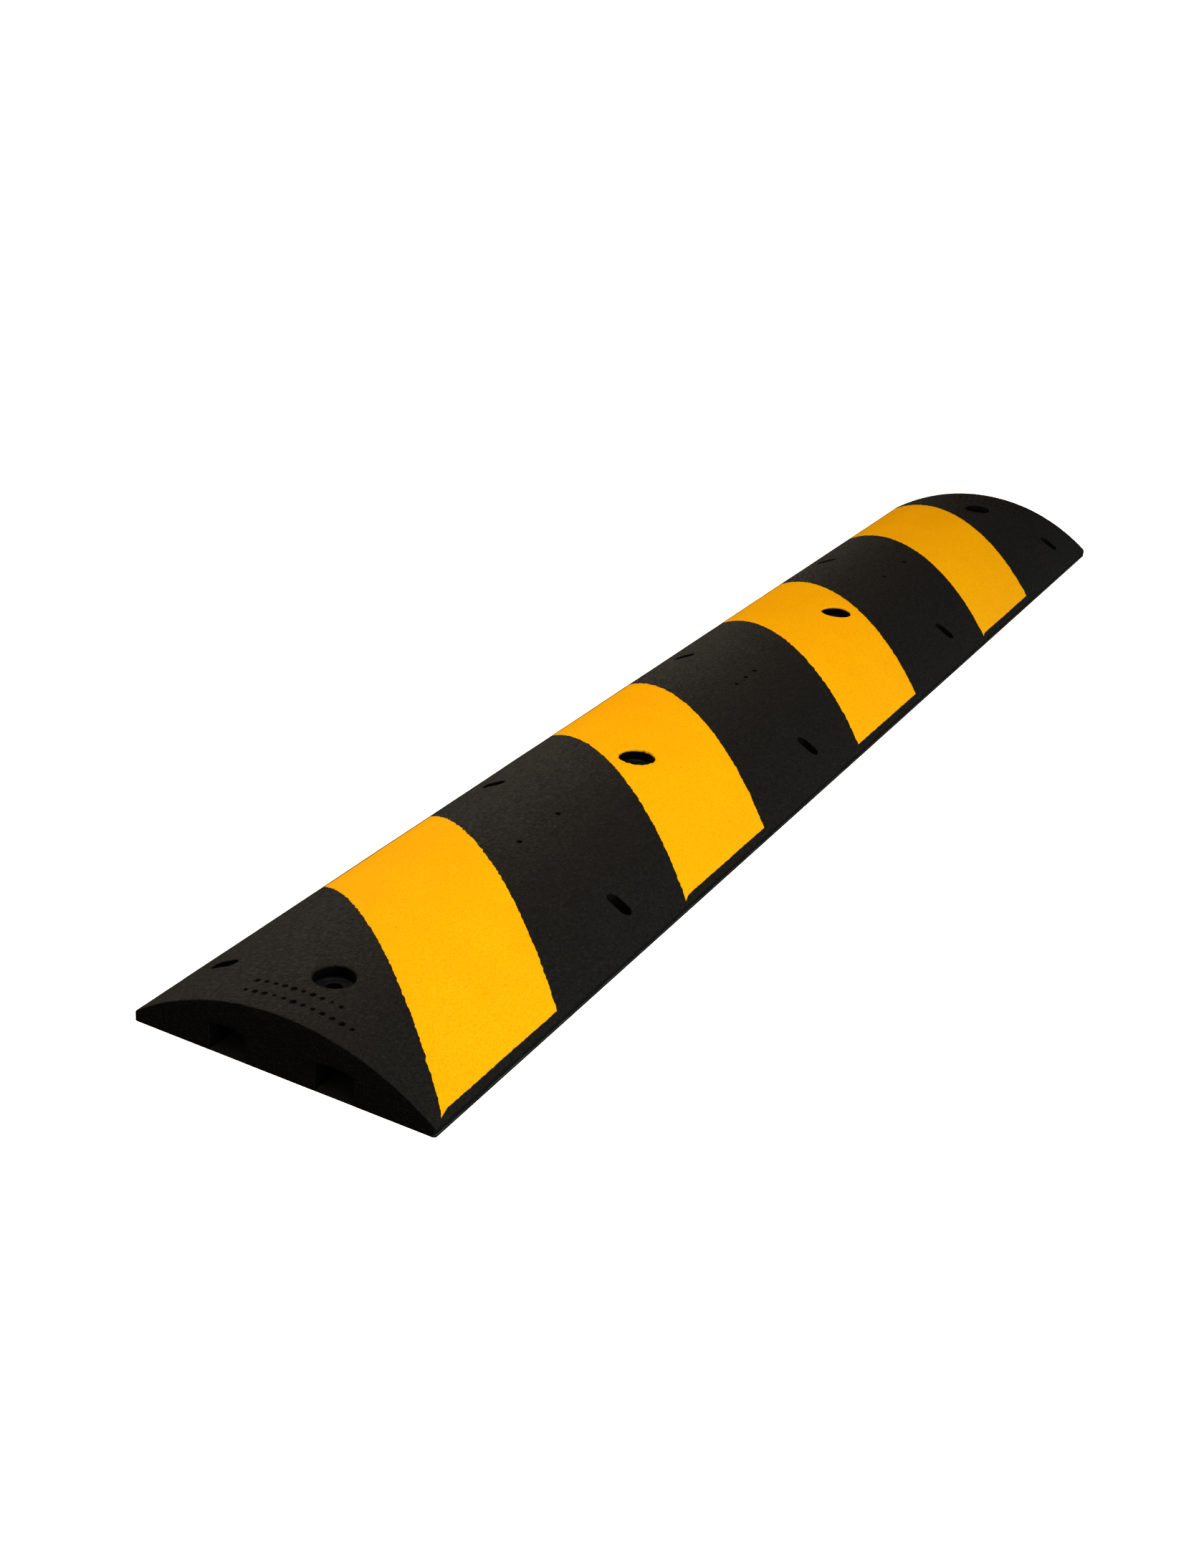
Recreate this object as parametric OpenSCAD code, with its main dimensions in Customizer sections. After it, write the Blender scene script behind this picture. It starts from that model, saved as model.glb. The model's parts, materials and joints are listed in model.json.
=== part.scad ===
/* [Body] */
// Length of the bump, along the line it makes across the road
body_length = 1830; // [1750:10:2400]
// Width of the bump, in the direction that vehicles travel
body_width = 305; // [290:1:400]
// Height of the crown above the road
crown_height = 60; // [50:1:75]
// Height of the upright lip along both long edges
lip_height = 9; // [4:1:18]

/* [Cable channels] */
// Width of each channel under the bump
channel_width = 38; // [20:1:42]
// Height of a channel's side walls
channel_wall_height = 26; // [12:1:27]
// Rise of a channel's arched ceiling above its side walls
channel_arch_rise = 3; // [1:0.5:4]
// Distance from the centreline to the middle of each channel
channel_offset = 54; // [48:1:60]

/* [Yellow stripes] */
// Distance from the middle of the bump to the middle of an inner stripe
stripe_inner_x = 228.6; // [180:0.1:250]
// Distance from the middle of the bump to the middle of an outer stripe
stripe_outer_x = 675; // [600:1:684]
// Width of a stripe, measured along the bump
stripe_width = 190; // [120:5:200]
// Angle of a stripe's long edges from square across the bump
stripe_slant = 41; // [0:1:42]
// Black margin between a stripe's end and the long edge
stripe_margin = 5.5; // [4:0.5:20]
// Thickness of the yellow rubber
stripe_thickness = 3; // [1.5:0.5:6]

/* [Crown fixings] */
// Distance between neighbouring crown holes
crown_hole_pitch = 558.8; // [500:0.1:570]
// Diameter of the hole that the fixing passes through
crown_hole_d = 16; // [10:0.5:20]
// Diameter of the recess that takes the fixing's head
crown_seat_d = 38; // [32:0.5:44]
// Depth of that recess below the crown
crown_seat_depth = 13.5; // [8:0.5:18]
// Outer diameter of the seat washer
washer_d = 37; // [26:0.5:37]
// Thickness of the seat washer
washer_thickness = 2; // [1:0.5:4]

/* [Side fixings] */
// Distance between neighbouring side holes in one row
side_hole_pitch = 457.2; // [400:0.1:460]
// Diameter of a side hole where it passes through to the road
side_hole_d = 15; // [12:0.5:20]
// Length of a side hole's oval mouth, across the bump
side_mouth_length = 26; // [22:0.5:30]
// Height of that mouth's flat floor above the road
side_mouth_floor = 19; // [8:0.5:20]
// Distance of each row of side holes from the centreline
side_hole_offset = 115; // [105:0.5:125]
// Distance that each row is shifted along the bump, in opposite ways
side_row_shift = 152.4; // [140:0.1:160]

/* [Pin marks] */
// Diameter of the small moulding pin marks on the crown
pin_mark_d = 5.5; // [4:0.5:8]
// Depth of the pin marks
pin_mark_depth = 15; // [6:1:20]
// Spacing of the three pin marks in the middle
pin_mark_middle = 25.4; // [15:0.1:40]
// Place of the inner pin mark of each outer pair
pin_mark_inner = 451; // [430:1:470]
// Place of the outer pin mark of each outer pair
pin_mark_outer = 527; // [510:1:535]

/* [Hidden] */
$fn = 96;
// Facets on the crown arc, which is much larger than the holes
crown_fn = 720;
// How far cutting tools reach past the faces they cut
reach = 1;
// Crown holes and their washers, and holes in each side row
row_count = 4;
half_width = body_width / 2;
crown_rise = crown_height - lip_height;
crown_radius = (half_width * half_width + crown_rise * crown_rise) / (2 * crown_rise);
crown_centre_z = crown_height - crown_radius;
channel_half = channel_width / 2;
channel_radius =
    (channel_half * channel_half + channel_arch_rise * channel_arch_rise) / (2 * channel_arch_rise);
channel_height = channel_wall_height + channel_arch_rise;
seat_z = crown_height - crown_seat_depth;
side_mouth_shift = (side_mouth_length - side_hole_d) / 2;
stripe_end_y = half_width - stripe_margin;
stripe_run = stripe_end_y * tan(stripe_slant);
STRIPES = [-stripe_outer_x, -stripe_inner_x, stripe_inner_x, stripe_outer_x];
PIN_MARKS = [
    -pin_mark_outer, -pin_mark_inner,
    -pin_mark_middle, 0, pin_mark_middle,
    pin_mark_inner, pin_mark_outer
];
RUBBER_BLACK = [0.14, 0.13, 0.12];
RUBBER_YELLOW = [1, 0.70, 0];
WASHER_GREY = [0.42, 0.42, 0.43];

// Place of item i in a centred row of row_count items
function row_x(i, pitch) = (i - (row_count - 1) / 2) * pitch;

// Runs a cross-section, drawn as (y, z), along the whole bump
module along_bump(extra = 0) {
    rotate([90, 0, 90])
        linear_extrude(height = body_length + 2 * extra, center = true)
            children();
}

// Domed cross-section, with its arc moved inwards by inset
module crown_section(inset = 0) {
    intersection() {
        translate([0, crown_centre_z])
            circle(r = crown_radius - inset, $fn = crown_fn);
        translate([-half_width, 0])
            square([body_width, crown_height]);
    }
}

// Cross-section of one cable channel: upright walls under a low arch
module channel_section() {
    translate([-channel_half, -reach])
        square([channel_width, channel_wall_height + reach]);
    intersection() {
        translate([0, channel_height - channel_radius])
            circle(r = channel_radius, $fn = crown_fn);
        translate([-channel_half, channel_wall_height / 2])
            square([channel_width, channel_height]);
    }
}

// Upright hole of diameter d from height z0 to past the crown
module hole_up(d, z0) {
    translate([0, 0, z0])
        cylinder(d = d, h = crown_height + reach - z0);
}

// Stepped crown hole: a wide recess for the head over a through hole
module crown_hole() {
    hole_up(crown_hole_d, -reach);
    hole_up(crown_seat_d, seat_z);
}

module crown_holes() {
    for (i = [0 : row_count - 1])
        translate([row_x(i, crown_hole_pitch), 0, 0])
            crown_hole();
}

// Side hole: an oval mouth, as wide as the round through hole in its floor
module side_hole() {
    hole_up(side_hole_d, -reach);
    for (side = [-1, 1])
        translate([0, side * side_mouth_shift, 0])
            hole_up(side_hole_d, side_mouth_floor);
    translate([-side_hole_d / 2, -side_mouth_shift, side_mouth_floor])
        cube([side_hole_d, 2 * side_mouth_shift, crown_height + reach - side_mouth_floor]);
}

// Two rows of side holes, each row the other's half turn about Z
module side_holes() {
    for (turn = [0, 180], i = [0 : row_count - 1])
        rotate([0, 0, turn])
            translate([side_row_shift + row_x(i, side_hole_pitch), -side_hole_offset, 0])
                side_hole();
}

module pin_marks() {
    for (x = PIN_MARKS)
        translate([x, 0, 0])
            hole_up(pin_mark_d, crown_height - pin_mark_depth);
}

module cable_channels() {
    for (side = [-1, 1])
        translate([0, side * channel_offset, 0])
            along_bump(reach)
                channel_section();
}

// Slanted upright prism that a stripe is cut out with
module stripe_prism() {
    w = stripe_width / 2;
    linear_extrude(height = crown_height + reach)
        polygon([
            [-w - stripe_run, -stripe_end_y],
            [w - stripe_run, -stripe_end_y],
            [w + stripe_run, stripe_end_y],
            [-w + stripe_run, stripe_end_y]
        ]);
}

// Yellow layer of stripe i before any hole: its pocket has this shape
module stripe_blank(i) {
    intersection() {
        difference() {
            along_bump()
                crown_section();
            along_bump(reach)
                crown_section(stripe_thickness);
        }
        translate([STRIPES[i], 0, 0])
            stripe_prism();
    }
}

// Black rubber moulding that everything else sits in
module rubber_body() {
    color(RUBBER_BLACK)
        difference() {
            along_bump()
                crown_section();
            cable_channels();
            crown_holes();
            side_holes();
            pin_marks();
            for (i = [0 : len(STRIPES) - 1])
                stripe_blank(i);
        }
}

// Yellow rubber inlay, flush with the crown and open where a fixing passes
module yellow_stripe(i) {
    color(RUBBER_YELLOW)
        difference() {
            stripe_blank(i);
            crown_holes();
            side_holes();
            pin_marks();
        }
}

// Flat steel ring that spreads the fixing's load on the recess floor
module seat_washer(i) {
    color(WASHER_GREY)
        translate([row_x(i, crown_hole_pitch), 0, seat_z])
            difference() {
                cylinder(d = washer_d, h = washer_thickness);
                translate([0, 0, -reach])
                    cylinder(d = crown_hole_d, h = washer_thickness + 2 * reach);
            }
}

rubber_body();
for (i = [0 : len(STRIPES) - 1])
    yellow_stripe(i);
for (i = [0 : row_count - 1])
    seat_washer(i);
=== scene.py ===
"""Looks of a moulded rubber speed bump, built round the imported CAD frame. Lengths are in metres."""

import json
import math

import bmesh
import bpy
import numpy as np
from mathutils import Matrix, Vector, noise
from mathutils.geometry import delaunay_2d_cdt
from mathutils.kdtree import KDTree


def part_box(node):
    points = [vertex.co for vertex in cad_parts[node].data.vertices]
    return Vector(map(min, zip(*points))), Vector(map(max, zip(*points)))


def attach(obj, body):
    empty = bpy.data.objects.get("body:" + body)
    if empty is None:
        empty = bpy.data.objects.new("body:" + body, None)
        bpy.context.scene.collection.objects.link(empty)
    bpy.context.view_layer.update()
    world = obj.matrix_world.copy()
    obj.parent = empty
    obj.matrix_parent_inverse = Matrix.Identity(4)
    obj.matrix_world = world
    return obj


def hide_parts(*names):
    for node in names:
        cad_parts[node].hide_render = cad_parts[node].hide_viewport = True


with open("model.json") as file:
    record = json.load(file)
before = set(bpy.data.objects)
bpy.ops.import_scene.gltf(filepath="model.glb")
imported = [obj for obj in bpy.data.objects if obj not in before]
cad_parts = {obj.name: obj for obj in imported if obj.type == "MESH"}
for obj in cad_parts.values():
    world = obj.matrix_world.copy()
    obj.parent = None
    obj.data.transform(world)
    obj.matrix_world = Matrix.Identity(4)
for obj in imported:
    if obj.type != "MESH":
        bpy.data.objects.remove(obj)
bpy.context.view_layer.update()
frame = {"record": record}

# ---- Body: length, width and crown from the frame ----
_, body_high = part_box("rubber_body")
HALF_LENGTH = body_high.x
HALF_WIDTH = body_high.y
CROWN = body_high.z
LIP = 0.009
RISE = CROWN - LIP
ARC_RADIUS = (HALF_WIDTH**2 + RISE**2) / (2 * RISE)
ARC_CENTRE = CROWN - ARC_RADIUS

# ---- Cable channels ----
CHANNEL_OFFSET = 0.054
CHANNEL_HALF = 0.019
CHANNEL_WALL = 0.026
CHANNEL_RISE = 0.003
CHANNEL_CORNER = 0.002
CHANNEL_RADIUS = (CHANNEL_HALF**2 + CHANNEL_RISE**2) / (2 * CHANNEL_RISE)
MOUTH_ROUND = 0.0008

# ---- Stripes ----
STRIPE_SLANT = math.tan(math.radians(41))
STRIPE_DEPTH = 0.003
STRIPE_GAP = 0.00010
STRIPE_BEVEL = 0.00025
# How far the moulded edge between the two rubbers wanders, and over what distance
JAG_COARSE = 0.0009
JAG_COARSE_WAVE = 0.0085
JAG_FINE = 0.0008
JAG_FINE_WAVE = 0.0042
JAG_NIBBLE = 0.0007
JAG_NIBBLE_WAVE = 0.0024
# Length over which the wander dies away toward a stripe's corners
JAG_FADE = 0.004
# Share of the wander along the stripe's ends, which are straighter
JAG_END = 0.35
# Yellow rubber that ran past a stripe's lower corner, as a plan offset, by stripe
THORNS = {1: (-0.0045, -0.0026), 2: (-0.0035, -0.0028), 4: (-0.0015, -0.0026)}
THORN_REACH = 0.011

# ---- Holes ----
SEAT_RIM = 0.0015
SIDE_RIM = 0.0009
SIDE_STRETCH = 0.0055
SIDE_FLOOR = 0.019
PIN_RIM = 0.0004
PIN_RADIUS = 0.00275
PIN_DEPTH = 0.015
PIN_MARKS = (-0.527, -0.451, -0.0254, 0, 0.0254, 0.451, 0.527)
HOLE_SIDES = 56
# Share of a quarter turn that an oval mouth spends on its straight sides
STRAIGHT_SHARE = 3 / 14
PIN_SIDES = 16
# Torn rim where the yellow rubber of one stripe meets the crown hole: how deep and how busy
# the tears are, and how much of the rim they take
TORN_STRIPE = 2
TORN_DEPTH = 0.0019
TORN_WAVES = 6.0
TORN_SHARE = 0.45

# ---- Moulded dimples near both ends: distance from the middle, first y, spacing, count ----
DIMPLE_ROWS = ((0.873, 0.054, 0.0094, 10), (0.891, 0.053, 0.0097, 12))
DIMPLE_RADIUS = 0.0029
DIMPLE_SPREAD = 0.0019
DIMPLE_DEPTH = 0.0060
DIMPLE_STEEPNESS = 3.2

# ---- Edges and skin ----
CORNER_ROUND = 0.003
EDGE_ROUND = 0.0014
# Rows down the upright long edges: height, and depth of the mould's parting groove there
LIP_ROWS = ((0.0036, 0.0), (0.0027, 0.0004), (0.0018, 0.0), (0.0, 0.0))
# Deepest chip along the ends, and the lengths of the coarse and fine chips
EDGE_CHIP = 0.0012
CHIP_COARSE = 0.006
CHIP_FINE = 0.0035
# Share by which the round's size varies, over what length, and how much sharper the ends are
EDGE_WEAR = 0.15
EDGE_WEAR_LENGTH = 0.03
END_SHARPER = 0.35
WAVE_DEPTH = 0.0005
WAVE_LENGTH = 0.085
RIPPLE_DEPTH = 0.00014
RIPPLE_LENGTH = 0.014

# ---- Mesh spacing ----
SKIN_STEP = 0.0045
SIDE_STEP = 0.004
END_STEP = 0.002
STRIPE_STEP = 0.0013
FLAT_STEP = 0.015
TUBE_STEP = 0.03
FOOT_STEP = 0.008
END_FACE_STEP = 0.005
WALL_STEP = 0.006
ARCH_STEP = 0.003
# Least distance from a fill point to any other, as a share of the fill's step
FILL_CLEARANCE = 0.62
# Finely meshed rings round a hole's rim, as distances outside it
SIDE_RINGS = (0.0016, 0.0040)
SEAT_RINGS = (0.0018, 0.0042)
SEAT_RING_SIDES = 48
# Finely meshed rings over a dimple: share of its radius, and sides
DIMPLE_RINGS = ((0.35, 8), (0.7, 12), (0.85, 16), (1.0, 16), (1.3, 16))
WELD = 2e-6
SHARP_ANGLE = math.radians(42)

# ---- Finishes, in the order of a piece's materials ----
GRAINY = 0
# Smoother finish for holes and channels, with painted shade: a darker colour for those recesses
SMOOTH_SHADED = 1
# Painted highlight: finish for the lip's parting groove, pale cool grey to stand in for light along
# it
LIP_PAINTED_HIGHLIGHT = 2


def spaced(start, stop, step):
    """Evenly spaced values from start to stop, no further apart than step."""
    return np.linspace(start, stop, max(1, math.ceil(abs(stop - start) / step - 1e-6)) + 1)


def ripple(x, y, wave, seed):
    """Smooth noise from about -1 to 1 over the plan, with features about wave across."""
    return noise.noise(Vector((x / wave, y / wave, seed)))


def crown_at(y, inset=0.0):
    """Height of the plain crown arc at distance y from the centreline."""
    radius = ARC_RADIUS - inset
    return ARC_CENTRE + math.sqrt(radius * radius - y * y)


def dimple_places():
    """Plan places of the moulded dimples, with the radius of each."""
    for turn in (-1, 1):
        for row, (out, first, pitch, count) in enumerate(DIMPLE_ROWS):
            for i in range(count):
                wander = noise.noise(Vector((i * 0.83, row * 4.7, 0.4)))
                radius = DIMPLE_RADIUS + DIMPLE_SPREAD * wander
                yield turn * (out + 0.5 * DIMPLE_SPREAD * wander), -turn * (first - i * pitch), radius


DIMPLES = list(dimple_places())
dimple_tree = KDTree(len(DIMPLES))
for number, (dimple_x, dimple_y, _) in enumerate(DIMPLES):
    dimple_tree.insert((dimple_x, dimple_y, 0), number)
dimple_tree.balance()


def skin_at(x, y):
    """Height of the real skin: the crown, less shallow waves and the dimples."""
    depth = WAVE_DEPTH * (0.5 + 0.5 * ripple(x, y, WAVE_LENGTH, 1.3))
    depth += RIPPLE_DEPTH * (0.5 + 0.5 * ripple(x, y, RIPPLE_LENGTH, 7.7))
    _, number, distance = dimple_tree.find((x, y, 0))
    radius = DIMPLES[number][2]
    if distance < radius:
        share = min(1.0, DIMPLE_STEEPNESS * (1 - distance / radius))
        depth += DIMPLE_DEPTH * share * share * (3 - 2 * share)
    return crown_at(y) - depth


def on_skin(x, y):
    """The point of the skin over plan point (x, y)."""
    return (x, y, skin_at(x, y))


def on_pocket(x, y):
    """The point of a stripe's pocket floor at (x, y)."""
    return (x, y, crown_at(y, STRIPE_DEPTH))


def on_base(x, y):
    """The point of a stripe's own underside at (x, y), just off its pocket's floor."""
    return (x, y, crown_at(y, STRIPE_DEPTH) + STRIPE_GAP)


def on_road(x, y):
    """The point of the flat underside at (x, y)."""
    return (x, y, 0.0)


def bend(start, corner, end, steps):
    """Points on a rounded edge that leaves start and end along the lines to corner."""
    rows = []
    for t in np.linspace(0, 1, steps + 1):
        rows.append([
            tuple(
                (1 - t) ** 2 * a + 2 * t * (1 - t) * c + t * t * b
                for a, c, b in zip(p, q, r)
            )
            for p, q, r in zip(start, corner, end)
        ])
    return rows


class Shell:
    """Gathers the faces of one closed mesh. Patches that meet hold the same points there."""

    def __init__(self):
        self.points = []
        self.faces = []
        self.finishes = []

    def loft(self, rows, closed=False, finish=GRAINY):
        """Quads between each row of points and the next, in that finish."""
        start = len(self.points)
        width = len(rows[0])
        for row in rows:
            self.points.extend(row)
        for r in range(len(rows) - 1):
            for i in range(width if closed else width - 1):
                j = (i + 1) % width
                low = start + r * width
                self.faces.append((low + i, low + j, low + width + j, low + width + i))
                self.finishes.append(finish)

    def patch(self, loops, loose, place):
        """Triangles between the outer loop and the loops inside it, through the loose points."""
        coords, outlines = [], []
        for loop in loops:
            outlines.append(tuple(range(len(coords), len(coords) + len(loop))))
            coords.extend(Vector(p[:2]) for p in loop)
        coords.extend(Vector(p) for p in loose)
        inside_outlines = 1
        found, _, faces, _, _, owners = delaunay_2d_cdt(coords, [], outlines, inside_outlines, 1e-8)
        faces = [face for face, owner in zip(faces, owners) if owner == [0]]
        used = sorted({i for face in faces for i in face})
        index = {old: len(self.points) + new for new, old in enumerate(used)}
        self.points.extend(place(*found[i]) for i in used)
        self.faces.extend(tuple(index[i] for i in face) for face in faces)
        self.finishes.extend([GRAINY] * len(faces))

    def make(self, name):
        """The finished object: welded, normals outwards, smooth with its sharp edges kept."""
        mesh = bpy.data.meshes.new(name)
        mesh.from_pydata(self.points, [], self.faces)
        mesh.polygons.foreach_set("material_index", self.finishes)
        work = bmesh.new()
        work.from_mesh(mesh)
        bmesh.ops.remove_doubles(work, verts=work.verts, dist=WELD)
        bmesh.ops.recalc_face_normals(work, faces=work.faces)
        work.to_mesh(mesh)
        work.free()
        mesh.shade_smooth()
        mesh.set_sharp_from_angle(angle=SHARP_ANGLE)
        piece = bpy.data.objects.new(name, mesh)
        bpy.context.scene.collection.objects.link(piece)
        return piece


def ring(x, y, radius, sides=HOLE_SIDES, wobble=None):
    """Plan points round a hole. wobble(angle) adds to the radius."""
    points = []
    for k in range(sides):
        angle = 2 * math.pi * k / sides
        reach = radius + (wobble(angle) if wobble else 0.0)
        points.append((x + reach * math.cos(angle), y + reach * math.sin(angle)))
    return points


def fill_points(loops, anchors, step):
    """Staggered grid over the loops' extent, kept off their points and the anchors."""
    fixed = [p[:2] for loop in loops for p in loop] + list(anchors)
    tree = KDTree(len(fixed))
    for i, (x, y) in enumerate(fixed):
        tree.insert((x, y, 0), i)
    tree.balance()
    xs = [p[0] for p in loops[0]]
    ys = [p[1] for p in loops[0]]
    rows = spaced(min(ys), max(ys), step * math.sqrt(0.75))
    columns = spaced(min(xs), max(xs), step)
    kept = list(anchors)
    for r, y in enumerate(rows[1:-1]):
        for x in columns[:-1] + (r % 2) * step / 2:
            if tree.find((x, y, 0))[2] > FILL_CLEARANCE * step:
                kept.append((x, y))
    return kept


# ---- Places of the holes and stripes, from the frame ----
washers = [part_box(f"seat_washer_{i}") for i in (1, 2, 3, 4)]
CROWN_HOLES = [((low.x + high.x) / 2, (low.y + high.y) / 2) for low, high in washers]
SEAT_Z = washers[0][0].z
WASHER_RADIUS = (washers[0][1].x - washers[0][0].x) / 2
WASHER_TOP = washers[0][1].z
SEAT_RADIUS = 0.019


def pattern_holes(prefix):
    """Plan places and radius of the holes in the record's line patterns of that name."""
    places = []
    for mount in frame["record"]["mounts"]:
        if mount["name"].startswith(prefix):
            half = mount["dims"]["spacing_x_mm"] / 2000
            x, y, _ = mount["pos_m"]
            places.extend(((x - half, y), (x + half, y)))
            radius = mount["dims"]["hole_r_mm"] / 1000
    return sorted(places), radius


SIDE_HOLES, SIDE_RADIUS = pattern_holes("side_holes")
_, BOLT_RADIUS = pattern_holes("crown_holes")


def thorn_share(spot, corner):
    """Share of a thorn's offset that a point near its corner takes."""
    away = min(1.0, (Vector(spot) - corner).length / THORN_REACH)
    return (1 - away) ** 2


def stripe_outline(index, inset):
    """Plan outline of a stripe's pocket, drawn in by inset, with its moulded jagged edge."""
    low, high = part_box(f"yellow_stripe_{index}")
    middle = (low.x + high.x) / 2
    end = high.y
    run = end * STRIPE_SLANT
    half = (high.x - low.x) / 2 - run
    corners = [
        Vector((middle - run - half, -end)),
        Vector((middle - run + half, -end)),
        Vector((middle + run + half, end)),
        Vector((middle + run - half, end)),
    ]
    sides = [(corners[i], corners[(i + 1) % 4]) for i in range(4)]
    inward = []
    for start, stop in sides:
        along = (stop - start).normalized()
        inward.append(Vector((-along.y, along.x)))
    outline = []
    for i, (start, stop) in enumerate(sides):
        before = inward[i - 1]
        here = inward[i]
        corner = start + (before + here) * (inset / (1 + before.dot(here)))
        outline.append(tuple(corner))
        steps = max(2, round((stop - start).length / STRIPE_STEP))
        for k in range(1, steps):
            spot = start.lerp(stop, k / steps)
            jag = JAG_COARSE * ripple(spot.x, spot.y, JAG_COARSE_WAVE, index)
            jag += JAG_FINE * ripple(spot.x, spot.y, JAG_FINE_WAVE, index + 5)
            jag += JAG_NIBBLE * ripple(spot.x, spot.y, JAG_NIBBLE_WAVE, index + 9)
            share = JAG_END if i in (0, 2) else 1.0
            share *= min(1.0, min(k, steps - k) * STRIPE_STEP / JAG_FADE)
            outline.append(tuple(spot + here * (inset + share * jag)))
    thorn = Vector(THORNS.get(index, (0, 0)))
    return [tuple(Vector(p) + thorn * thorn_share(p, corners[0])) for p in outline]


def in_stripe(x, index):
    """Whether a hole on the centreline at x passes through that stripe."""
    low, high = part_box(f"yellow_stripe_{index}")
    return abs(x - (low.x + high.x) / 2) < (high.x - low.x) / 2 - high.y * STRIPE_SLANT


def oval(x, y, radius):
    """Plan points round a side hole's mouth, which is longer across the bump."""
    quarter = math.pi / 2
    straight = STRAIGHT_SHARE * quarter
    points = []
    for k in range(HOLE_SIDES):
        angle = 2 * math.pi * k / HOLE_SIDES
        c, s = math.cos(angle), math.sin(angle)
        tilt = math.atan2(abs(s), abs(c))
        if tilt < straight:
            across, along = radius, SIDE_STRETCH * tilt / straight
        else:
            turned = quarter * (tilt - straight) / (quarter - straight)
            across, along = radius * math.cos(turned), SIDE_STRETCH + radius * math.sin(turned)
        points.append((x + math.copysign(across, c), y + math.copysign(along, s)))
    return points


def hole_mouth(outer, inner, rim, steps=4):
    """Rows of points over a hole's rounded rim, from the skin at outer to its wall at inner."""
    corner = [on_skin(*p) for p in inner]
    wall = [(x, y, z - rim) for x, y, z in corner]
    return bend([on_skin(*p) for p in outer], corner, wall, steps)


def dropped(row, z, steps):
    """Rows from row straight down to height z, without row itself."""
    rows = []
    for k in range(1, steps + 1):
        rows.append([(x, y, top + (z - top) * k / steps) for x, y, top in row])
    return rows


def flat_ring(hole, radius, z, sides=HOLE_SIDES):
    """Points round a hole, all at height z."""
    return [(x, y, z) for x, y in ring(*hole, radius, sides)]


def seat_anchors(hole, radius):
    """Plan rings outside a crown hole, so that the skin there is finely meshed."""
    anchors = []
    for grow in SEAT_RINGS:
        anchors.extend(ring(*hole, radius + grow, SEAT_RING_SIDES))
    return anchors


# ---- Rubber body ----
def edge_stations():
    """Plan points round the bump with their inward directions: side, corner, end, corner, twice."""
    corner_x = HALF_LENGTH - CORNER_ROUND
    corner_y = HALF_WIDTH - CORNER_ROUND
    quarter = np.radians(spaced(-90, 0, 18))[1:-1]
    groups = []
    for turn in (1, -1):
        side_xs = spaced(-corner_x, corner_x, SIDE_STEP)
        side = [((x * turn, -HALF_WIDTH * turn), (0, turn)) for x in side_xs]
        end_ys = spaced(-corner_y, corner_y, END_STEP)
        end = [((HALF_LENGTH * turn, y * turn), (-turn, 0)) for y in end_ys]
        corners = []
        for centre_y, first in ((-corner_y, 0), (corner_y, math.pi / 2)):
            corner = []
            for angle in quarter + first:
                c, s = math.cos(angle), math.sin(angle)
                spot = (turn * (corner_x + CORNER_ROUND * c), turn * (centre_y + CORNER_ROUND * s))
                corner.append((spot, (-turn * c, -turn * s)))
            corners.append(corner)
        groups += [side, corners[0], end, corners[1]]
    return groups


def end_share(x):
    """0 along the long edges, rising to 1 over the corners at the ends."""
    return min(1.0, max(0.0, (abs(x) - HALF_LENGTH + CORNER_ROUND) / CORNER_ROUND))


def lip_rows(stations):
    """Rows down the upright long edge, drawn in along the parting groove."""
    rows = []
    for z, depth in LIP_ROWS:
        row = []
        for (x, y), (way_x, way_y) in stations:
            inset = depth * (1 - end_share(x))
            row.append((x + way_x * inset, y + way_y * inset, z))
        rows.append(row)
    return rows


def edge_size(spot):
    """Size of the edge's round: even along the sides, chipped along the ends."""
    x, y = spot
    share = end_share(x)
    worn = EDGE_WEAR * ripple(x, y, EDGE_WEAR_LENGTH, 3.1)
    chip = max(0.0, ripple(x, y, CHIP_COARSE, 9.2))
    chip += 0.5 * max(0.0, ripple(x, y, CHIP_FINE, 5.5))
    return EDGE_ROUND * (1 + worn - END_SHARPER * share) + share * EDGE_CHIP * chip


def edge_rows(stations):
    """Rows of the rounded top edge for those stations, from the skin to the upright face."""
    start, corner, end = [], [], []
    for spot, inward in stations:
        size = edge_size(spot)
        start.append(on_skin(spot[0] + inward[0] * size, spot[1] + inward[1] * size))
        corner.append(on_skin(*spot))
        x, y, z = corner[-1]
        end.append((x, y, z - size))
    return bend(start, corner, end, 5)


def channel_path(centre):
    """Cross-section of a channel from foot to foot, as (y, z), with the way into the rubber."""
    left = centre - CHANNEL_HALF
    arch_centre = CHANNEL_WALL + CHANNEL_RISE - CHANNEL_RADIUS

    def arch(y):
        return arch_centre + math.sqrt(CHANNEL_RADIUS**2 - (y - centre) ** 2)

    shoulder = CHANNEL_WALL - CHANNEL_CORNER
    wall = [(left, z) for z in spaced(0, shoulder, WALL_STEP)]
    round_end = left + CHANNEL_CORNER
    rounded = bend(
        [(left, shoulder)], [(left, CHANNEL_WALL)], [(round_end, arch(round_end))], 4
    )
    half = wall + [row[0] for row in rounded[1:]]
    top = [(y, arch(y)) for y in spaced(round_end, 2 * centre - round_end, ARCH_STEP)][1:-1]
    path = half + top + [(2 * centre - y, z) for y, z in reversed(half)]
    ways = []
    for i in range(len(path)):
        before = Vector(path[max(i - 1, 0)])
        after = Vector(path[min(i + 1, len(path) - 1)])
        along = (after - before).normalized()
        ways.append((-along.y, along.x))
    return path, ways


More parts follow.
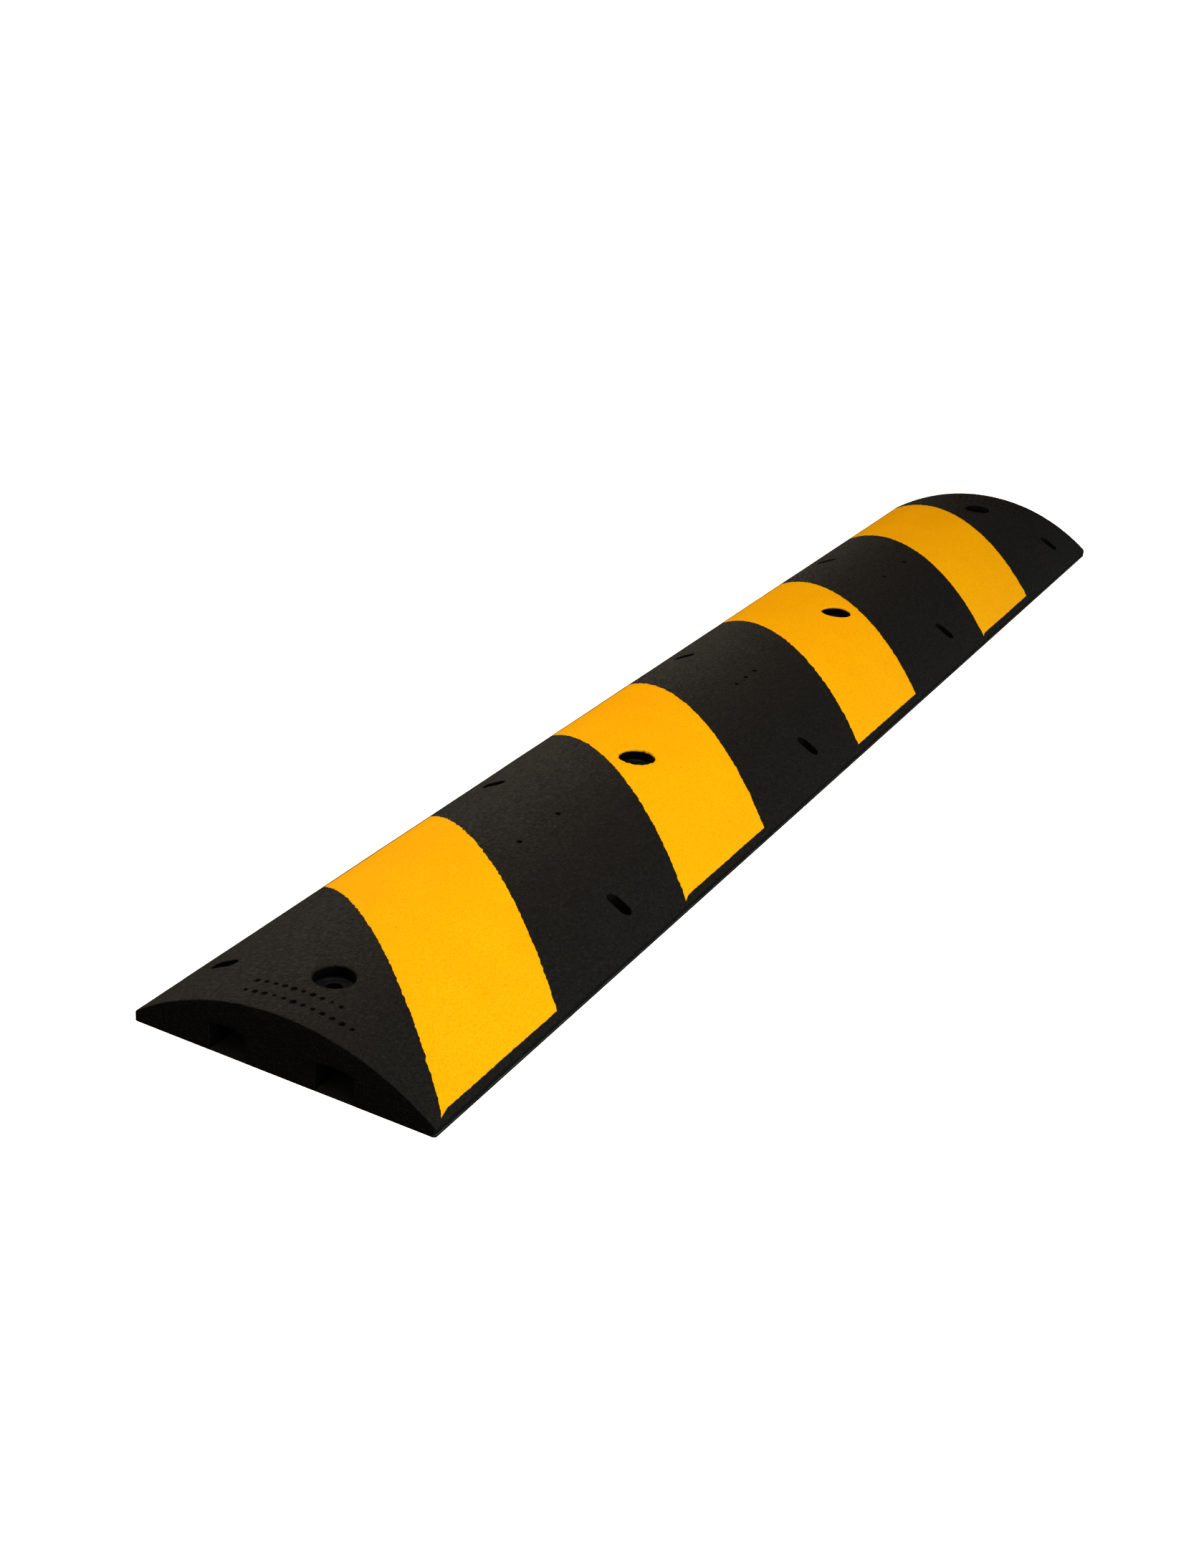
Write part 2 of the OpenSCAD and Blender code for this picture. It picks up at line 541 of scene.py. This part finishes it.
def mouth_rows(end, centre):
    """Rows of a channel's rounded mouth at the end face, from the face into the channel."""
    path, ways = channel_path(centre)
    end_x = end * HALF_LENGTH
    face = []
    for (y, z), (way_y, way_z) in zip(path, ways):
        face.append((end_x, y + MOUTH_ROUND * way_y, z + MOUTH_ROUND * way_z))
    corner = [(end_x, y, z) for y, z in path]
    inner = [(end_x - end * MOUTH_ROUND, y, z) for y, z in path]
    return bend(face, corner, inner, 3)


def end_foot(from_y, to_y):
    """Points along the foot of an end face, as (y, z)."""
    return [(y, 0.0) for y in spaced(from_y, to_y, FOOT_STEP)]


def add_end_face(shell, end, top):
    """The end face under the chipped edge, open at the two channel mouths."""
    corner_y = HALF_WIDTH - CORNER_ROUND
    upper = sorted((y, z) for _, y, z in top)
    mouths = []
    for centre in (-CHANNEL_OFFSET, CHANNEL_OFFSET):
        mouths.append([(y, z) for _, y, z in mouth_rows(end, centre)[0]])
    loop = end_foot(-corner_y, mouths[0][0][0])[:-1] + mouths[0]
    loop += end_foot(mouths[0][-1][0], mouths[1][0][0])[1:-1] + mouths[1]
    loop += end_foot(mouths[1][-1][0], corner_y)[1:]
    levels = [z for z, _ in LIP_ROWS[:-1]]
    loop += [(corner_y, z) for z in reversed(levels)]
    loop += list(reversed(upper))
    loop += [(-corner_y, z) for z in levels]
    loose = fill_points([loop], [], END_FACE_STEP)
    inside = [(y, z) for y, z in loose if z < crown_at(y) - END_FACE_STEP]
    shell.patch([loop], inside, lambda y, z: (end * HALF_LENGTH, y, z))


def plan_turned(points, turn):
    """The same plan points, or those half a turn about Z from them when turn is -1."""
    return [(x * turn, y * turn) for x, y in points]


def tube_stations():
    """Distances along a channel, between its two rounded mouths."""
    reach = HALF_LENGTH - MOUTH_ROUND
    return spaced(-reach, reach, TUBE_STEP)


def mouth_foot(end, side):
    """Plan points across a mouth's rounded foot, on its first (0) or last (-1) wall."""
    return [(row[side][0], row[side][1]) for row in mouth_rows(end, CHANNEL_OFFSET)]


def add_underside(shell, stations):
    """The flat underside: two outer strips and the middle one, between the channels."""
    inner_edge = CHANNEL_OFFSET - CHANNEL_HALF
    outer_edge = CHANNEL_OFFSET + CHANNEL_HALF
    corner_y = HALF_WIDTH - CORNER_ROUND
    tube = list(tube_stations())
    foot = [y for y, _ in end_foot(outer_edge + MOUTH_ROUND, corner_y)]
    for turn in (1, -1):
        loop = [(HALF_LENGTH, y) for y in foot]
        loop += [spot for spot, _ in stations[3] + stations[4] + stations[5]]
        loop += [(-HALF_LENGTH, y) for y in reversed(foot)]
        loop += mouth_foot(-1, -1)[1:-1]
        loop += [(x, outer_edge) for x in tube]
        loop += list(reversed(mouth_foot(1, -1)))[1:-1]
        loop = plan_turned(loop, turn)
        holes = [ring(x, y, SIDE_RADIUS) for x, y in SIDE_HOLES if y * turn > 0]
        shell.patch([loop] + holes, fill_points([loop] + holes, [], FLAT_STEP), on_road)
    foot = end_foot(-inner_edge + MOUTH_ROUND, inner_edge - MOUTH_ROUND)
    half = [(HALF_LENGTH, y) for y, _ in foot][:-1]
    half += mouth_foot(1, 0)[:-1]
    half += [(x, inner_edge) for x in reversed(tube)][:-1]
    half += list(reversed(mouth_foot(-1, 0)))[:-1]
    loop = half + plan_turned(half, -1)
    holes = [ring(*hole, BOLT_RADIUS) for hole in CROWN_HOLES]
    shell.patch([loop] + holes, fill_points([loop] + holes, [], FLAT_STEP), on_road)


def add_crown_hole(shell, hole, in_pocket):
    """Recess, its floor and the bolt hole, from the skin or from a stripe's pocket."""
    if in_pocket:
        rows = [[on_pocket(*p) for p in ring(*hole, SEAT_RADIUS)]]
    else:
        rows = hole_mouth(ring(*hole, SEAT_RADIUS + SEAT_RIM), ring(*hole, SEAT_RADIUS), SEAT_RIM)
        shell.loft(rows, closed=True)
    rim = [p[:2] for p in rows[0]]
    rows = rows[-1:]
    rows += dropped(rows[-1], SEAT_Z, 4)
    rows += [flat_ring(hole, r, SEAT_Z) for r in (0.5 * (SEAT_RADIUS + BOLT_RADIUS), BOLT_RADIUS)]
    rows += dropped(rows[-1], 0.0, 4)
    shell.loft(rows, closed=True, finish=SMOOTH_SHADED)
    return rim


def add_side_hole(shell, hole):
    """Oval mouth, its flat floor, and the round hole on to the road."""
    rows = hole_mouth(oval(*hole, SIDE_RADIUS + SIDE_RIM), oval(*hole, SIDE_RADIUS), SIDE_RIM)
    rim = [p[:2] for p in rows[0]]
    shell.loft(rows, closed=True)
    rows = rows[-1:]
    rows += dropped(rows[-1], SIDE_FLOOR, 4)
    rows.append(flat_ring(hole, SIDE_RADIUS, SIDE_FLOOR))
    rows += dropped(rows[-1], 0.0, 4)
    shell.loft(rows, closed=True, finish=SMOOTH_SHADED)
    return rim


def add_pin_mark(shell, x):
    """Small blind hole left by a moulding pin, with a rounded floor."""
    outer = ring(x, 0, PIN_RADIUS + PIN_RIM, PIN_SIDES)
    rows = hole_mouth(outer, ring(x, 0, PIN_RADIUS, PIN_SIDES), PIN_RIM, steps=3)
    floor = CROWN - PIN_DEPTH
    rows += dropped(rows[-1], floor, 3)
    rows.append(flat_ring((x, 0), 0.5 * PIN_RADIUS, floor, PIN_SIDES))
    rows.append(flat_ring((x, 0), 0.0, floor, PIN_SIDES))
    shell.loft(rows, closed=True, finish=SMOOTH_SHADED)
    return [p[:2] for p in rows[0]]


def make_body():
    """The black moulding: its edges, ends, channels, underside, holes, pockets and skin."""
    shell = Shell()
    groups = edge_stations()
    stations = [station for group in groups for station in group]
    outer = [p[:2] for p in edge_rows(stations)[0]]

    for end_before, end_after in ((6, 2), (2, 6)):
        first = (end_before + 1) % 8
        run = [groups[end_before][-1]]
        for g in (first, (first + 1) % 8, (first + 2) % 8):
            run += groups[g]
        run.append(groups[end_after][0])
        edge = edge_rows(run)
        lip = lip_rows(run)
        shell.loft(edge + lip[:2])
        # Painted highlight: the groove's lower face takes the pale grey finish that stands in for a
        # line of light
        shell.loft(lip[1:3], finish=LIP_PAINTED_HIGHLIGHT)
        shell.loft(lip[2:])
    for end, group in ((1, 2), (-1, 6)):
        edge = edge_rows(groups[group])
        shell.loft(edge)
        add_end_face(shell, end, edge[-1])

    for centre in (-CHANNEL_OFFSET, CHANNEL_OFFSET):
        path, _ = channel_path(centre)
        shell.loft([[(x, y, z) for y, z in path] for x in tube_stations()], finish=SMOOTH_SHADED)
        for end in (-1, 1):
            shell.loft(mouth_rows(end, centre))
    add_underside(shell, groups)

    loops = [outer]
    anchors = []
    for hole in SIDE_HOLES:
        loops.append(add_side_hole(shell, hole))
        for grow in SIDE_RINGS:
            anchors += oval(*hole, SIDE_RADIUS + SIDE_RIM + grow)
    pockets = []
    for index in (1, 2, 3, 4):
        outline = stripe_outline(index, 0.0)
        loops.append(outline)
        shell.loft([[on_skin(*p) for p in outline], [on_pocket(*p) for p in outline]], closed=True)
        pockets.append([outline])
    for hole in CROWN_HOLES:
        inside = [i for i in (1, 2, 3, 4) if in_stripe(hole[0], i)]
        rim = add_crown_hole(shell, hole, bool(inside))
        if inside:
            pockets[inside[0] - 1].append(rim)
        else:
            loops.append(rim)
            anchors += seat_anchors(hole, SEAT_RADIUS + SEAT_RIM)
    for pocket in pockets:
        shell.patch(pocket, fill_points(pocket, [], FLAT_STEP), on_pocket)
    for x in PIN_MARKS:
        loops.append(add_pin_mark(shell, x))
    for x, y, radius in DIMPLES:
        anchors.append((x, y))
        for share, sides in DIMPLE_RINGS:
            anchors += ring(x, y, share * radius, sides)
    shell.patch(loops, fill_points(loops, anchors, SKIN_STEP), on_skin)
    return shell.make("bump_body")


# ---- Yellow stripes ----
def torn(angle):
    """How far the yellow rubber tore back from the hole's edge at that angle."""
    spot = Vector((math.cos(angle), math.sin(angle), 0)) * TORN_WAVES
    return TORN_DEPTH * max(0.0, TORN_SHARE + noise.noise(spot))


def make_stripe(index):
    """A yellow inlay with its bevelled jagged edge, open where a crown hole passes."""
    shell = Shell()
    outline = stripe_outline(index, STRIPE_GAP + STRIPE_BEVEL)
    edge = stripe_outline(index, STRIPE_GAP)
    start = [on_skin(*p) for p in outline]
    corner = [on_skin(*p) for p in edge]
    end = [(x, y, z - STRIPE_BEVEL) for x, y, z in corner]
    base = [on_base(*p) for p in edge]
    shell.loft(bend(start, corner, end, 2) + [base], closed=True)
    tops, bases, anchors = [outline], [edge], []
    for hole in CROWN_HOLES:
        if not in_stripe(hole[0], index):
            continue
        wobble = torn if index == TORN_STRIPE else None
        outer = ring(*hole, SEAT_RADIUS + SEAT_RIM, wobble=wobble)
        rows = hole_mouth(outer, ring(*hole, SEAT_RADIUS, wobble=wobble), SEAT_RIM)
        floor = [on_base(*p[:2]) for p in rows[-1]]
        shell.loft(rows + [floor], closed=True)
        tops.append([p[:2] for p in rows[0]])
        bases.append([p[:2] for p in floor])
        anchors += seat_anchors(hole, SEAT_RADIUS + SEAT_RIM + TORN_DEPTH)
    shell.patch(tops, fill_points(tops, anchors, SKIN_STEP), on_skin)
    shell.patch(bases, fill_points(bases, [], FLAT_STEP), on_base)
    return shell.make(f"yellow_stripe_piece_{index}")


# ---- Seat washers ----
def make_washer(index):
    """Flat ring with rounded edges and two turned steps on its face."""
    hole = CROWN_HOLES[index - 1]
    bevel = 0.0004
    step = 0.0005
    middle = 0.5 * (WASHER_RADIUS + BOLT_RADIUS)
    profile = [
        (BOLT_RADIUS, SEAT_Z + bevel),
        (BOLT_RADIUS, WASHER_TOP - bevel),
        (BOLT_RADIUS + 0.3 * bevel, WASHER_TOP - 0.3 * bevel),
        (BOLT_RADIUS + bevel, WASHER_TOP),
        (middle - 2 * step, WASHER_TOP),
        (middle - step, WASHER_TOP - step),
        (middle + 4 * step, WASHER_TOP - step),
        (middle + 5 * step, WASHER_TOP),
        (WASHER_RADIUS - bevel, WASHER_TOP),
        (WASHER_RADIUS - 0.3 * bevel, WASHER_TOP - 0.3 * bevel),
        (WASHER_RADIUS, WASHER_TOP - bevel),
        (WASHER_RADIUS, SEAT_Z + bevel),
        (WASHER_RADIUS - bevel, SEAT_Z),
        (BOLT_RADIUS + bevel, SEAT_Z),
        (BOLT_RADIUS, SEAT_Z + bevel),
    ]
    shell = Shell()
    shell.loft([flat_ring(hole, r, z) for r, z in profile], closed=True)
    return shell.make(f"seat_washer_piece_{index}")


# ---- Materials ----
class Nodes:
    """Short calls for building one material's node tree."""

    def __init__(self, name):
        self.material = bpy.data.materials.new(name)
        self.material.use_nodes = True
        self.tree = self.material.node_tree
        self.shader = self.tree.nodes["Principled BSDF"]
        self.place = self.add("ShaderNodeTexCoord").outputs["Object"]

    def add(self, kind, inputs=(), **settings):
        node = self.tree.nodes.new(kind)
        for key, value in settings.items():
            setattr(node, key, value)
        for key, value in dict(inputs).items():
            if isinstance(value, bpy.types.NodeSocket):
                self.tree.links.new(value, node.inputs[key])
            else:
                node.inputs[key].default_value = value
        return node

    def noise(self, size, detail=3.0, roughness=0.55):
        """Noise from 0 to 1 with features about size across."""
        inputs = {"Vector": self.place, "Scale": 1 / size, "Detail": detail, "Roughness": roughness}
        return self.add("ShaderNodeTexNoise", inputs).outputs["Fac"]

    def crumbs(self, size, output):
        """Rubber crumbs about size across."""
        inputs = {"Vector": self.place, "Scale": 1 / size}
        return self.add("ShaderNodeTexVoronoi", inputs).outputs[output]

    def spread(self, value, low, high, to_low, to_high):
        """Value from low to high, taken to the range to_low to to_high."""
        inputs = {
            "Value": value, "From Min": low, "From Max": high, "To Min": to_low, "To Max": to_high,
        }
        return self.add("ShaderNodeMapRange", inputs).outputs["Result"]

    def mix(self, share, first, second):
        node = self.add("ShaderNodeMix", data_type="RGBA")
        for socket, value in (("Factor", share), ("A", first), ("B", second)):
            target = next(s for s in node.inputs if s.name == socket and s.enabled)
            if isinstance(value, bpy.types.NodeSocket):
                self.tree.links.new(value, target)
            else:
                target.default_value = value
        return next(s for s in node.outputs if s.enabled)

    def multiply(self, first, second):
        node = self.add("ShaderNodeMath", {0: first, 1: second}, operation="MULTIPLY")
        return node.outputs[0]

    def bump(self, height, depth, strength=1.0, below=None):
        inputs = {"Height": height, "Distance": depth, "Strength": strength}
        if below:
            inputs["Normal"] = below
        return self.add("ShaderNodeBump", inputs).outputs["Normal"]

    def set(self, **inputs):
        """Sets or links the shader's inputs; an underscore stands for a space."""
        for key, value in inputs.items():
            target = self.shader.inputs[key.replace("_", " ")]
            if isinstance(value, bpy.types.NodeSocket):
                self.tree.links.new(value, target)
            else:
                target.default_value = value
        return self.material


def black_rubber():
    """Pressed crumb rubber: near black, warm, with grey dust on some crumbs."""
    n = Nodes("black_crumb_rubber")
    tone = n.spread(n.noise(0.09, 5), 0.3, 0.7, 0.0, 1.0)
    colour = n.mix(tone, (0.0040, 0.0033, 0.0021, 1), (0.0058, 0.0048, 0.0032, 1))
    patch = n.spread(n.noise(0.0036, 4, 0.7), 0.38, 0.66, 0.0, 0.9)
    colour = n.mix(patch, colour, (0.0110, 0.0093, 0.0066, 1))
    speck = n.spread(n.crumbs(0.0015, "Color"), 0.62, 1.0, 0.0, 0.8)
    speck = n.multiply(speck, n.spread(n.noise(0.0022, 2), 0.4, 0.6, 0.0, 1.0))
    colour = n.mix(speck, colour, (0.029, 0.0250, 0.0195, 1))
    # Painted shade: near-black spots stand in for the shade in tiny pits between the crumbs
    painted_pit_shade = n.spread(n.noise(0.0022, 3, 0.7), 0.58, 0.70, 0.0, 0.95)
    colour = n.mix(painted_pit_shade, colour, (0.0012, 0.0011, 0.0010, 1))
    roughness = n.spread(n.noise(0.004, 3), 0.3, 0.7, 0.56, 0.80)
    grain = n.bump(n.crumbs(0.0018, "Distance"), 0.0008, 0.9)
    grain = n.bump(n.noise(0.0010, 3), 0.0006, 0.9, grain)
    grain = n.bump(n.noise(0.008, 3), 0.0018, 0.5, grain)
    return n.set(Base_Color=colour, Roughness=roughness, Normal=grain, Specular_IOR_Level=0.064)


def smooth_rubber_painted_shade():
    """The same rubber in the holes and channels, where the mould pressed it smoother; its colour is
    painted darker there as shade in those recesses.
    """
    n = Nodes("smooth_rubber_painted_shade")
    tone = n.spread(n.noise(0.010, 4), 0.3, 0.7, 0.0, 1.0)
    # Painted shade: darker than the rubber of the open skin
    colour = n.mix(tone, (0.0014, 0.0013, 0.0011, 1), (0.0032, 0.0029, 0.0025, 1))
    roughness = n.spread(n.noise(0.003, 3), 0.3, 0.7, 0.50, 0.72)
    grain = n.bump(n.noise(0.0012, 3), 0.00035, 0.6)
    grain = n.bump(n.noise(0.006, 2), 0.0008, 0.5, grain)
    return n.set(Base_Color=colour, Roughness=roughness, Normal=grain, Specular_IOR_Level=0.025)


def lip_painted_highlight_rubber():
    """Painted highlight: the lower face of the mould's parting groove along the lip, pale cool grey
    in places to stand in for a thin line of light there.
    """
    n = Nodes("lip_painted_highlight_rubber")
    tone = n.spread(n.noise(0.018, 4), 0.35, 0.65, 0.0, 1.0)
    colour = n.mix(tone, (0.012, 0.0125, 0.013, 1), (0.042, 0.044, 0.047, 1))
    grain = n.bump(n.noise(0.0012, 3), 0.0003, 0.5)
    return n.set(Base_Color=colour, Roughness=0.7, Normal=grain, Specular_IOR_Level=0.08)


def yellow_rubber():
    """Yellow crumb rubber: even colour, fine darker specks and a few black crumbs."""
    n = Nodes("yellow_crumb_rubber")
    tone = n.spread(n.noise(0.06, 4), 0.3, 0.7, 0.0, 1.0)
    colour = n.mix(tone, (0.96, 0.392, 0.0003, 1), (1.0, 0.423, 0.0005, 1))
    speck = n.spread(n.noise(0.0022, 4), 0.45, 0.72, 0.0, 0.75)
    colour = n.mix(speck, colour, (0.76, 0.300, 0.0004, 1))
    dirt = n.spread(n.noise(0.0048, 2), 0.775, 0.80, 0.0, 0.85)
    colour = n.mix(dirt, colour, (0.08, 0.04, 0.01, 1))
    roughness = n.spread(n.noise(0.003, 3), 0.3, 0.7, 0.58, 0.75)
    grain = n.bump(n.crumbs(0.0020, "Distance"), 0.0004, 0.6)
    grain = n.bump(n.noise(0.0011, 3), 0.0003, 0.6, grain)
    return n.set(Base_Color=colour, Roughness=roughness, Normal=grain, Specular_IOR_Level=0.03)


def washer_steel():
    """Steel painted near black to stand in for the shade deep in its recess, with turned rings, dust
    and darker patches.
    """
    n = Nodes("washer_steel_painted_shade")
    tone = n.spread(n.noise(0.006, 4), 0.35, 0.7, 0.0, 1.0)
    # Painted shade: the steel's colour is kept near black for the shade in the recess
    colour = n.mix(tone, (0.004, 0.004, 0.004, 1), (0.010, 0.010, 0.0095, 1))
    roughness = n.spread(n.noise(0.002, 3), 0.3, 0.7, 0.50, 0.75)
    scratch = n.bump(n.noise(0.0006, 2), 0.00006, 0.5)
    return n.set(Base_Color=colour, Roughness=roughness, Normal=scratch, Metallic=0.85)


def finish_piece(piece, materials, node):
    """Gives a piece its materials, hangs it under the root body and hides the CAD node that it stands
    for.
    """
    for material in materials:
        piece.data.materials.append(material)
    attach(piece, "root")
    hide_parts(node)


BLACK = [black_rubber(), smooth_rubber_painted_shade(), lip_painted_highlight_rubber()]
YELLOW = [yellow_rubber()]
STEEL = [washer_steel()]
pieces = [make_body()]
finish_piece(pieces[0], BLACK, "rubber_body")
for item in (1, 2, 3, 4):
    stripe, washer = make_stripe(item), make_washer(item)
    finish_piece(stripe, YELLOW, f"yellow_stripe_{item}")
    finish_piece(washer, STEEL, f"seat_washer_{item}")
    pieces += [stripe, washer]

# ---- Floor, light and camera ----
FLOOR_HALF = 40.0


def make_floor():
    """Plain pale floor. No light bounces from it onto the object."""
    mesh = bpy.data.meshes.new("floor")
    corners = [(-1, -1), (1, -1), (1, 1), (-1, 1)]
    mesh.from_pydata([(x * FLOOR_HALF, y * FLOOR_HALF, 0) for x, y in corners], [], [(0, 1, 2, 3)])
    floor = bpy.data.objects.new("floor", mesh)
    bpy.context.scene.collection.objects.link(floor)
    n = Nodes("pale_floor")
    colour = (0.80, 0.72, 0.60, 1)
    mesh.materials.append(n.set(Base_Color=colour, Roughness=1.0, Specular_IOR_Level=0.0))
    floor.visible_diffuse = False
    floor.visible_glossy = False
    return floor


def add_light(name, kind, place, target):
    lamp = bpy.data.lights.new(name, kind)
    light = bpy.data.objects.new(name, lamp)
    light.location = place
    light.rotation_euler = (Vector(target) - Vector(place)).to_track_quat("-Z", "Y").to_euler()
    light.visible_camera = False
    bpy.context.scene.collection.objects.link(light)
    return light


def shine_only_on(light, name, receivers):
    """Lets a light fall on those objects alone."""
    group = bpy.data.collections.new(name)
    for receiver in receivers:
        group.objects.link(receiver)
    light.light_linking.receiver_collection = group


def area_light(name, place, target, size, power, colour, receivers):
    """Soft rectangular light on the bump alone, so that no channel or hole shows a lit floor."""
    light = add_light(name, "AREA", place, target)
    light.data.shape = "RECTANGLE"
    light.data.size, light.data.size_y = size
    light.data.energy = power
    light.data.color = colour
    shine_only_on(light, f"lit_by_{name}", receivers)


def floor_light(floor):
    """Light from straight above that falls on the floor alone and keeps it pale all over."""
    light = add_light("floor_light", "SUN", (0, 0, 4), (0, 0, 0))
    light.data.energy = 9.0
    light.data.angle = math.radians(1)
    shine_only_on(light, "lit_floor", [floor])


def make_world():
    """Dim even fill on the object, seen as white behind the floor's far edge."""
    world = bpy.data.worlds.new("studio")
    world.use_nodes = True
    tree = world.node_tree
    background = tree.nodes["Background"]
    path = tree.nodes.new("ShaderNodeLightPath")
    strength = tree.nodes.new("ShaderNodeMapRange")
    strength.inputs["To Min"].default_value = 0.012
    strength.inputs["To Max"].default_value = 1.0
    background.inputs["Color"].default_value = (1, 1, 1, 1)
    tree.links.new(path.outputs["Is Camera Ray"], strength.inputs["Value"])
    tree.links.new(strength.outputs["Result"], background.inputs["Strength"])
    bpy.context.scene.world = world


def make_light(floor):
    warm, cool, plain = (1.0, 0.95, 0.86), (0.76, 0.89, 1.0), (1.0, 0.98, 0.95)
    amber = (1.0, 0.84, 0.68)
    make_world()
    floor_light(floor)
    area_light("overhead", (-0.9, -0.5, 2.4), (-0.5, 0, 0), (2.0, 1.6), 63, plain, pieces)
    area_light("back_left", (-0.5, 2.9, 1.5), (-0.5, 0, 0), (3.0, 1.2), 66, warm, pieces)
    area_light("far_left", (2.8, 2.6, 0.7), (-0.3, 0, 0), (1.6, 0.8), 22, amber, pieces[:1])
    area_light("right_fill", (-0.9, -3.2, 0.45), (-0.2, 0, 0), (3.4, 0.7), 90, cool, pieces)
    area_light("far_right", (3.4, -1.9, 0.8), (0, 0, 0), (1.2, 0.6), 18, cool, pieces)


def make_camera():
    """Camera beyond the near end, to the right of the bump, looking along and down at it."""
    place = Vector((-2.1025, -0.8537, 0.9748))
    azimuth, elevation, roll = (math.radians(a) for a in (-63.929, 25.290, 5.028))
    lens = 47.676
    ahead = Vector((
        -math.sin(azimuth) * math.cos(elevation),
        math.cos(azimuth) * math.cos(elevation),
        -math.sin(elevation),
    ))
    right = Vector((math.cos(azimuth), math.sin(azimuth), 0))
    above = right.cross(ahead)
    across = math.cos(roll) * right + math.sin(roll) * above
    upward = math.cos(roll) * above - math.sin(roll) * right
    data = bpy.data.cameras.new("camera")
    data.lens = lens
    data.sensor_width = 36
    data.clip_start, data.clip_end = 0.05, 200
    camera = bpy.data.objects.new("camera", data)
    bpy.context.scene.collection.objects.link(camera)
    matrix = camera.matrix_world.copy()
    for column, axis in enumerate((across, upward, -ahead)):
        for row in range(3):
            matrix[row][column] = axis[row]
    matrix.translation = place
    camera.matrix_world = matrix
    bpy.context.scene.camera = camera


make_light(make_floor())
make_camera()
bpy.context.scene.view_settings.view_transform = "Standard"
